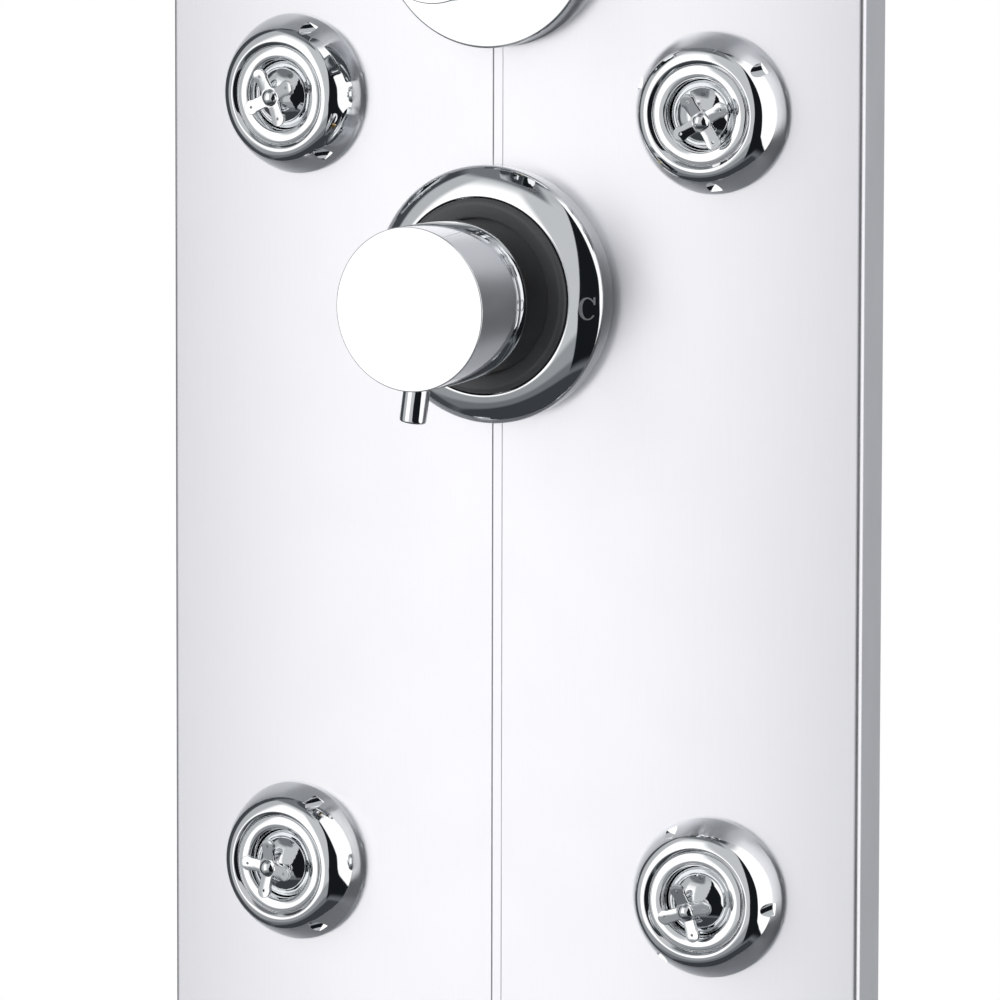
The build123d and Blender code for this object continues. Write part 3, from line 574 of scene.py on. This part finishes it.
FLAT_END = 0.1  # a normal's rise that tells the panel's two ends from its walls
FACES_OUT = 0.98
ON_ROUNDING, ON_BOW = 0.05, 0.02
SEATED_FROM = 18.2  # a cover's sleeve inside this radius goes through the panel
SEAT_GAP = 0.05


def bow_y(x, radius=BOW_RADIUS):
    return BOW_CENTRE.y - math.sqrt(radius**2 - x**2)


def bow_drop(x):
    """How far the front lies behind its tangent plane, x millimetres to the side."""
    return BOW_RADIUS - math.sqrt(BOW_RADIUS**2 - x**2)


def side_frame():
    """Start, direction and outward normal of the right side's flat."""
    corner = Vector((CORNER_X, bow_y(CORNER_X)))
    along = (Vector((BACK_X, BACK_Y)) - corner).normalized()
    return corner, along, Vector((along.y, -along.x))


def on_side(inwards, distance_from_bow_centre):
    """Point of the side's line moved inwards, at a distance from the bow's centre."""
    corner, along, normal = side_frame()
    start = corner - normal * inwards - BOW_CENTRE
    half = start.dot(along)
    root = math.sqrt(half**2 - start.length_squared + distance_from_bow_centre**2)
    return BOW_CENTRE + start + along * (-half - root)


def rounding_centre():
    return on_side(CORNER_ROUNDING, BOW_RADIUS - CORNER_ROUNDING)


def panel_outline():
    """Right half of the C section, from the groove round to the groove's inner side."""
    _, along, normal = side_frame()
    centre = rounding_centre()
    radial = (centre - BOW_CENTRE).normalized()
    first = math.atan2(radial.y, radial.x)
    last = math.atan2(normal.y, normal.x)
    points = [Vector((GROOVE_BOTTOM, FRONT_Y + GROOVE_DEPTH))]
    start, end = GROOVE_MOUTH, (centre + radial * CORNER_ROUNDING).x
    for k in range(BOW_STRIPS + 1):
        x = start + (end - start) * k / BOW_STRIPS
        points.append(Vector((x, bow_y(x))))
    for k in range(1, ROUNDING_STEPS + 1):
        t = first + (last - first) * k / ROUNDING_STEPS
        points.append(centre + Vector((math.cos(t), math.sin(t))) * CORNER_ROUNDING)
    points += [Vector((BACK_X, BACK_Y)), Vector((LIP_X, BACK_Y)), Vector((LIP_X, BACK_Y - SKIN))]
    corner = Vector((BACK_X, BACK_Y)) - normal * SKIN
    corner += along * ((BACK_Y - SKIN - corner.y) / along.y)
    points.append(corner)
    inner = on_side(SKIN, BOW_RADIUS - SKIN)
    for k in range(BOW_STRIPS + 1):
        x = inner.x * (1 - k / BOW_STRIPS)
        points.append(Vector((x, bow_y(x, BOW_RADIUS - SKIN))))
    return points[:-1], points[-1]


def panel_mesh():
    half, middle = panel_outline()
    mirrored = [Vector((-p.x, p.y)) for p in reversed(half)]
    outline = half + [middle] + mirrored
    mesh = bmesh.new()
    low, high = ([mesh.verts.new((p.x, p.y, z)) for p in outline] for z in (PANEL_LOW, PANEL_HIGH))
    count = len(outline)
    for k in range(count):
        n = (k + 1) % count
        mesh.faces.new((low[k], low[n], high[n], high[k]))
    for layer in (low, high):
        mesh.faces.new(layer)
    bmesh.ops.recalc_face_normals(mesh, faces=mesh.faces)
    return mesh_data(mesh, "front_panel")


def panel_normals(data):
    """Exact normals on the bow and the rounded corners, so that reflections run smoothly."""
    rounding = rounding_centre()
    wanted = []
    for face in data.polygons:
        face.use_smooth = True
        middle = face.center.xy / MM
        side = 1 if middle.x > 0 else -1
        corner = Vector((side * rounding.x, rounding.y))
        flat_normal = face.normal.copy()
        centre, sign = None, 1
        if abs(flat_normal.z) < FLAT_END:
            bow = (middle - BOW_CENTRE).length
            if abs((middle - corner).length - CORNER_ROUNDING) < ON_ROUNDING:
                centre = corner
            elif abs(bow - BOW_RADIUS) < ON_BOW and flat_normal.y < -FACES_OUT:
                centre = BOW_CENTRE
            elif abs(bow - BOW_RADIUS + SKIN) < ON_BOW and flat_normal.y > FACES_OUT:
                centre, sign = BOW_CENTRE, -1
        for index in face.vertices:
            if centre is None:
                wanted.append(flat_normal)
                continue
            out = (data.vertices[index].co.xy / MM - centre).normalized() * sign
            wanted.append(Vector((out.x, out.y, 0.0)))
    data.normals_split_custom_set(wanted)


def add_panel():
    panel = add_piece(
        "panel", panel_mesh(),
        Matrix.Scale(MM, 4), "column", "satin_aluminium", "front_panel")
    bores = [(joint_place(f"jet_{key}_ring_spin"), JET_HOLE) for key in JET_KEYS]
    bores.append((joint_place("mixer_turn"), MIXER_HOLE))
    for z in (DIVERTER_Z, ARM_Z):
        bores.append((placed((0, FRONT_Y * MM, z * MM), (0, -1, 0)), SPOUT_HOLE))
    drills = [rod(at, radius, -SKIN_DRILL, SKIN_DRILL, BORE_SEGMENTS) for at, radius in bores]
    for z in SCREW_Z:
        for x in (-SCREW_X, SCREW_X):
            at = placed((x * MM, 0, z * MM), (0, 1, 0))
            drills.append(rod(at, SCREW_HOLE, -BACK_DRILL, BACK_DRILL, SCREW_SEGMENTS))
    carve(panel, *drills)
    panel_normals(panel.data)


def seat_on_bow(data):
    """Lifts what would sink into the bowed front. The mesh is still in its own millimetres."""
    for vertex in data.vertices:
        x, y, z = vertex.co
        if math.hypot(x, y) > SEATED_FROM:
            vertex.co.z = max(z, SEAT_GAP - bow_drop(x))
    return data


# ---------------------------------------------------------------- body jets
# Degrees by which each jet's spanner holes and its star are turned.
JET_TURN = {"ul": (68, 27), "ur": (38, 31), "ll": (62, -8), "lr": (-4, 17)}
SPANNER_HOLES, SPANNER_RADIUS, SPANNER_AT = 3, 2.1, 22.9
SPANNER_FLOOR, SPANNER_TOP = 4.5, 14
FLANGE = (
    (25.0, -0.8), (25.0, 0.9), ((24.9, 1.7), (24.65, 2.4)), ((23.0, 6.3), (20.5, 10.3)),
    ((18.7, 11.5), (16.8, 11.9)), (16.6, 11.85), (15.38, 10.9), (15.38, 7.0), (15.08, 7.0),
    (15.08, -12.0), (18.0, -12.0), (18.0, 1.4), (24.0, 1.4), (24.0, -0.8),
)
RING = (
    (15.3, 7.35), (15.3, 10.8), (15.1, 11.0), ((13.4, 11.3), (11.6, 11.0)), (11.2, 10.6),
    (11.05, 8.5), (10.85, 8.3), (10.85, 7.51), ((11.27, 6.55), (12.15, 2.0)), (12.15, -4.0),
    (15.0, -4.0), (15.0, 7.35),
)
BALL = (
    (0.0, 14.8), (1.5, 14.8), (1.5, 12.5), (3.2, 12.5), (3.2, 11.57), ((8.6, 8.37), (12.0, 0.0)),
    ((10.9, -5.02), (8.94, -8.0)), (4.0, -8.0), (4.0, 2.0), (0.0, 2.0),
)
STAR_ARMS = 4
STAR_LOW, STAR_HIGH = 12.8, 14.2
STAR_REACH = 7.2  # from the axis to the middle of an arm's lobe
STAR_LOBE = 2.35
STAR_WAIST = 2.0  # half the width of an arm
STAR_INNER = 3.2  # where the rounded inner corner meets the arm's side
STAR_DOME = ((0.0, 15.9), ((1.6, 15.55), (2.8, 14.1)), (2.8, 13.2), (0.0, 13.2))
STAR_DISH_FROM, STAR_DISH = 2.8, 0.16  # outside this radius the arms rise by this slope
STAR_EDGE = 0.25
CORNER_STEPS, LOBE_STEPS = 5, 18
SAME_HEIGHT = 1e-4
PINHOLE, PINHOLE_SEGMENTS = 0.45, 20
PIN_DRILL = (STAR_LOW - 1, STAR_HIGH + 2)


def star_mesh():
    """Four-armed cross with lobed ends."""
    outline = []
    neck = math.pi - math.asin(STAR_WAIST / STAR_LOBE)
    bend = STAR_INNER - STAR_WAIST
    corner = [math.radians(45 + 45 / CORNER_STEPS * k) for k in range(CORNER_STEPS + 1)]
    corner = [(STAR_INNER - bend * math.cos(t), STAR_INNER - bend * math.sin(t)) for t in corner]
    lobe = [-neck + 2 * neck * k / LOBE_STEPS for k in range(LOBE_STEPS + 1)]
    side = [(x, -y) for x, y in corner]
    side += [(STAR_REACH + STAR_LOBE * math.cos(t), STAR_LOBE * math.sin(t)) for t in lobe]
    side += corner[:0:-1]
    for arm in range(STAR_ARMS):
        turn = math.tau * arm / STAR_ARMS
        cos, sin = math.cos(turn), math.sin(turn)
        outline += [(x * cos - y * sin, x * sin + y * cos) for x, y in side]
    mesh = bmesh.new()
    bottom = mesh.faces.new([mesh.verts.new((x, y, STAR_LOW)) for x, y in outline])
    lifted = bmesh.ops.extrude_face_region(mesh, geom=[bottom])
    top = [v for v in lifted["geom"] if isinstance(v, bmesh.types.BMVert)]
    bmesh.ops.translate(mesh, verts=top, vec=(0, 0, STAR_HIGH - STAR_LOW))
    bmesh.ops.recalc_face_normals(mesh, faces=mesh.faces)
    rim = [e for e in mesh.edges if abs(e.verts[0].co.z - e.verts[1].co.z) < SAME_HEIGHT]
    bmesh.ops.bevel(mesh, geom=rim, offset=STAR_EDGE, segments=3, profile=0.5, affect="EDGES")
    for normal in (Vector((1, 0, 0)), Vector((0, 1, 0))):
        for at in (STAR_DISH_FROM, -STAR_DISH_FROM):
            everything = mesh.verts[:] + mesh.edges[:] + mesh.faces[:]
            bmesh.ops.bisect_plane(mesh, geom=everything, plane_co=normal * at, plane_no=normal)
    for vertex in mesh.verts:
        reach = max(abs(vertex.co.x), abs(vertex.co.y)) - STAR_DISH_FROM
        vertex.co.z += STAR_DISH * max(0.0, reach)
    return mesh_data(mesh, "star")


def add_jet(key):
    spin = f"jet_{key}_ring_spin"
    place = joint_place(spin)
    spanner_turn, star_turn = JET_TURN[key]
    flange = add_piece(
        f"{key}_jet_flange", seat_on_bow(lathe_mesh("flange", FLANGE, soft=0.2)),
        place, "column", "polished_chrome", f"jet_{key}_flange")
    drills = []
    for step in range(SPANNER_HOLES):
        angle = spanner_turn + 360 / SPANNER_HOLES * step
        turn = Matrix.Rotation(math.radians(angle), 4, "Z")
        at = place @ turn @ Matrix.Translation((SPANNER_AT, 0, 0))
        drills.append(rod(at, SPANNER_RADIUS, SPANNER_FLOOR, SPANNER_TOP))
    carve(flange, *drills)
    sharpen(flange, 35)
    add_piece(
        f"{key}_jet_ring", lathe_mesh("ring", RING, soft=0.15),
        place, f"jet_{key}_ring", "polished_chrome", f"jet_{key}_ring")
    star_axis = JOINTS[f"jet_{key}_star_spin"]
    straight, leaning = Vector(JOINTS[spin]["axis"]), Vector(star_axis["axis"])
    lean = straight.rotation_difference(leaning).to_matrix().to_4x4()
    centre = Matrix.Translation(Vector(star_axis["pos_m"]))
    ball_place = centre @ lean @ Matrix.Translation(-place.translation) @ place
    add_piece(
        f"{key}_jet_ball", lathe_mesh("ball", BALL, soft=0.12),
        ball_place, f"jet_{key}_ball", "polished_chrome", f"jet_{key}_ball")
    star_place = ball_place @ Matrix.Rotation(math.radians(star_turn), 4, "Z")
    star = add_piece(
        f"{key}_jet_star", star_mesh(),
        star_place, f"jet_{key}_star", "polished_chrome", f"jet_{key}_star")
    dome = helper(lathe_mesh("dome", STAR_DOME, soft=0.1, segments=64), star_place)
    carve(star, dome, operation="UNION")
    pins = []
    for arm in range(STAR_ARMS):
        turn = Matrix.Rotation(math.tau * arm / STAR_ARMS, 4, "Z")
        at = star_place @ turn @ Matrix.Translation((STAR_REACH, 0, 0))
        pins.append(rod(at, PINHOLE, *PIN_DRILL, PINHOLE_SEGMENTS))
    carve(star, *pins)
    sharpen(star, 30)


# ---------------------------------------------------------------- mixer
RING_ARC = ((39.49, 7.1), (35.52, 10.37), (30.65, 12.0))
ESCUTCHEON = (
    (39.5, -1.6), (40.0, 5.7), ((39.86, 6.45), RING_ARC[0]), RING_ARC[1:], (30.6, 11.8),
    (30.6, 1.0), (32.2, 1.0), (32.2, 10.03), ((34.94, 8.86), (38.26, 6.07)), (38.0, -1.6),
)
COLLAR = (
    (30.3, 0.4), (30.3, 11.2), ((29.7, 12.9), (28.3, 13.5)), (24.4, 13.1), (24.1, 12.7),
    (24.1, 10.4), (9.5, 10.4), (9.5, 9.2), (24.1, 9.2), (24.1, 0.4),
)
KNOB = (
    (0, 53.3), (25.2, 53.3), (25.2, 29.0), (22.2, 29.0), (22.2, 49.3), (9.0, 49.3), (9.0, 29.0),
    (5.05, 29.0), (5.05, 45.1), (0, 45.1),
)
KNOB_RING = (
    (9.0, 28.9), (24.8, 28.9), (24.9, 25.0), ((23.6, 21.4), (20.5, 20.0)), (5.1, 20.0), (5.1, 28.9),
)
LEVER = ((0, 36.2), (4.15, 36.2), (4.15, 25.25), (2.45, 25.25), (2.45, 22.3), (0, 22.3))
LEVER_HEIGHT, LEVER_HOLE = 41.5, 2.5
LEVER_DRILL = (15, 35)
GRUB_HEIGHT, GRUB_HOLE, GRUB_DRILL = 33.5, 2.05, 30
MARK_RADIUS = 36.4
MARK_TURN = math.radians(-3.6)
MARK_LIFT, MARK_SINK = 0.03, 0.15
C_ACROSS, C_UP = 1.9, 3.3  # half the letter, along the middle of the stroke
C_THIN, C_HEAVY, C_SWELL = 0.4, 0.7, 1.3
C_MOUTH = 38  # degrees from the letter's right to each end
C_STEPS = 36
C_SERIF = (1.75, 1.2, 1.75, 3.5)
H_ACROSS, H_UP, H_SERIF_UP = 1.5, 3.5, 3.4
STEM, THIN_BAR, SERIF = 0.9, 0.45, 0.4  # widths of strokes


def ring_height(radius):
    """Height of the escutcheon's face."""
    x, y, r = circle_through(*RING_ARC)
    return y + math.sqrt(r**2 - (radius - x)**2)


def stroke(points, widths, columns=4):
    """Grid of points across a pen stroke, at each of its points."""
    rows = []
    for k, (point, width) in enumerate(zip(points, widths)):
        before, after = points[max(k - 1, 0)], points[min(k + 1, len(points) - 1)]
        run = (Vector(after) - Vector(before)).normalized()
        across = Vector((-run.y, run.x)) * width
        rows.append([Vector(point) + across * (j / columns - 0.5) for j in range(columns + 1)])
    return rows


def bar(x0, y0, x1, y1, width, steps=12):
    """Straight stroke of one width."""
    points = [(x0 + (x1 - x0) * k / steps, y0 + (y1 - y0) * k / steps) for k in range(steps + 1)]
    return stroke(points, [width] * len(points))


def letter_c():
    """Serif C, heavier at its left."""
    opening = 2 * (180 - C_MOUTH)
    angles = [math.radians(C_MOUTH + opening * k / C_STEPS) for k in range(C_STEPS + 1)]
    points = [(C_ACROSS * math.cos(t), C_UP * math.sin(t)) for t in angles]
    widths = [C_THIN + C_HEAVY * max(0.0, -math.cos(t)) ** C_SWELL for t in angles]
    return [stroke(points, widths), bar(*C_SERIF, THIN_BAR)]


def letter_h():
    """Serif H of the same height."""
    strokes = [bar(x, -H_UP, x, H_UP, STEM) for x in (-H_ACROSS, H_ACROSS)]
    strokes.append(bar(-H_ACROSS, 0, H_ACROSS, 0, THIN_BAR))
    for x in (-H_ACROSS, H_ACROSS):
        strokes += [bar(x - STEM, y, x + STEM, y, SERIF, 6) for y in (-H_SERIF_UP, H_SERIF_UP)]
    return strokes


def mark_mesh(name, strokes, turn):
    """Thin letter laid on the escutcheon's curved face."""
    centre = Vector((MARK_RADIUS * math.cos(turn), MARK_RADIUS * math.sin(turn)))
    mesh = bmesh.new()
    for rows in strokes:
        layers = []
        for lift in (MARK_LIFT, -MARK_SINK):
            grid = []
            for row in rows:
                spots = [centre + p for p in row]
                spots = [(s.x, s.y, ring_height(s.length) + lift) for s in spots]
                grid.append([mesh.verts.new(spot) for spot in spots])
            layers.append(grid)
        top, bottom = layers
        last_row, last = len(rows) - 1, len(rows[0]) - 1
        for grid in layers:
            for i in range(last_row):
                for j in range(last):
                    mesh.faces.new((grid[i][j], grid[i][j + 1], grid[i + 1][j + 1], grid[i + 1][j]))
        border = [(0, j) for j in range(last)]
        border += [(i, last) for i in range(last_row)]
        border += [(last_row, j) for j in range(last, 0, -1)]
        border += [(i, 0) for i in range(last_row, 0, -1)]
        for (i, j), (m, n) in zip(border, border[1:] + border[:1]):
            mesh.faces.new((top[i][j], top[m][n], bottom[m][n], bottom[i][j]))
    bmesh.ops.recalc_face_normals(mesh, faces=mesh.faces)
    return mesh_data(mesh, name)


def handle_place():
    """Frame of the lever's pivot: z out of the panel, y away from the lever."""
    out = Vector((0, -1, 0))
    lift = JOINTS["mixer_lift"]
    return placed(lift["pos_m"], out, out.cross(-Vector(lift["axis"])))


def add_mixer():
    front = joint_place("mixer_turn")
    ring = add_piece(
        "escutcheon", seat_on_bow(lathe_mesh("escutcheon", ESCUTCHEON, soft=0.2, segments=240)),
        front, "column", "polished_chrome", "mixer_escutcheon")
    sharpen(ring, 50)
    add_piece(
        "collar", lathe_mesh("collar", COLLAR, soft=0.3, segments=200),
        front, "column", "dark_collar", "recess_collar")
    marks = (("cold_mark", letter_c(), MARK_TURN), ("hot_mark", letter_h(), math.pi - MARK_TURN))
    for name, strokes, turn in marks:
        add_piece(
            name, mark_mesh(name, strokes, turn),
            front, "column", "polished_chrome", finish="engraving")
    handle = handle_place()
    knob = add_piece(
        "mixer_knob_cup", lathe_mesh("knob", KNOB, soft=0.3, segments=224),
        handle, "mixer_handle", "polished_chrome", "mixer_knob")
    lever_at = pointing_down(handle, LEVER_HEIGHT)
    grub_at = pointing_down(handle, GRUB_HEIGHT)
    carve(knob, rod(lever_at, LEVER_HOLE, *LEVER_DRILL), rod(grub_at, GRUB_HOLE, 0, GRUB_DRILL))
    sharpen(knob, 35)
    add_piece(
        "knob_bead", lathe_mesh("bead", KNOB_RING, soft=0.2, segments=224),
        handle, "mixer_handle", "polished_chrome", "knob_base_ring")
    add_piece(
        "lever_pin", lathe_mesh("lever", LEVER, soft=0.6, segments=96),
        lever_at, "mixer_handle", "polished_chrome", "pin_lever")


# ---------------------------------------------------------------- diverter
DISC = (
    (36.8, -1.4), (36.8, 8.8), ((36.6, 9.35), (36.1, 9.6)), ((23.0, 10.8), (9.4, 11.3)), (9.4, 9.4),
    (34.9, 8.0), (34.9, -1.4),
)
DIVERTER_KNOB = (
    (0, 44.0), (21.0, 44.0), (21.0, 13.0), (18.4, 13.0), (18.4, 40.0), (8.0, 40.0), (8.0, 13.0),
    (5.05, 13.0), (5.05, 37.1), (0, 37.1),
)
DIVERTER_GRUB_HEIGHT, DIVERTER_GRUB_DRILL = 20.0, 26


def add_diverter():
    front = joint_place("diverter_turn")
    add_piece(
        "diverter_plate", seat_on_bow(lathe_mesh("disc", DISC, soft=0.15, segments=224)),
        front, "column", "polished_chrome", "diverter_disc")
    knob = add_piece(
        "diverter_cup", lathe_mesh("diverter_knob", DIVERTER_KNOB, soft=0.3, segments=200),
        front, "diverter_handle", "polished_chrome", "diverter_knob")
    carve(knob, rod(pointing_down(front, DIVERTER_GRUB_HEIGHT), GRUB_HOLE, 0, DIVERTER_GRUB_DRILL))
    sharpen(knob, 35)


# ---------------------------------------------------------------- build
add_camera()
add_studio()
add_floor()
add_lamp()
dress_cad_nodes()
add_panel()
for jet_key in JET_KEYS:
    add_jet(jet_key)
add_mixer()
add_diverter()
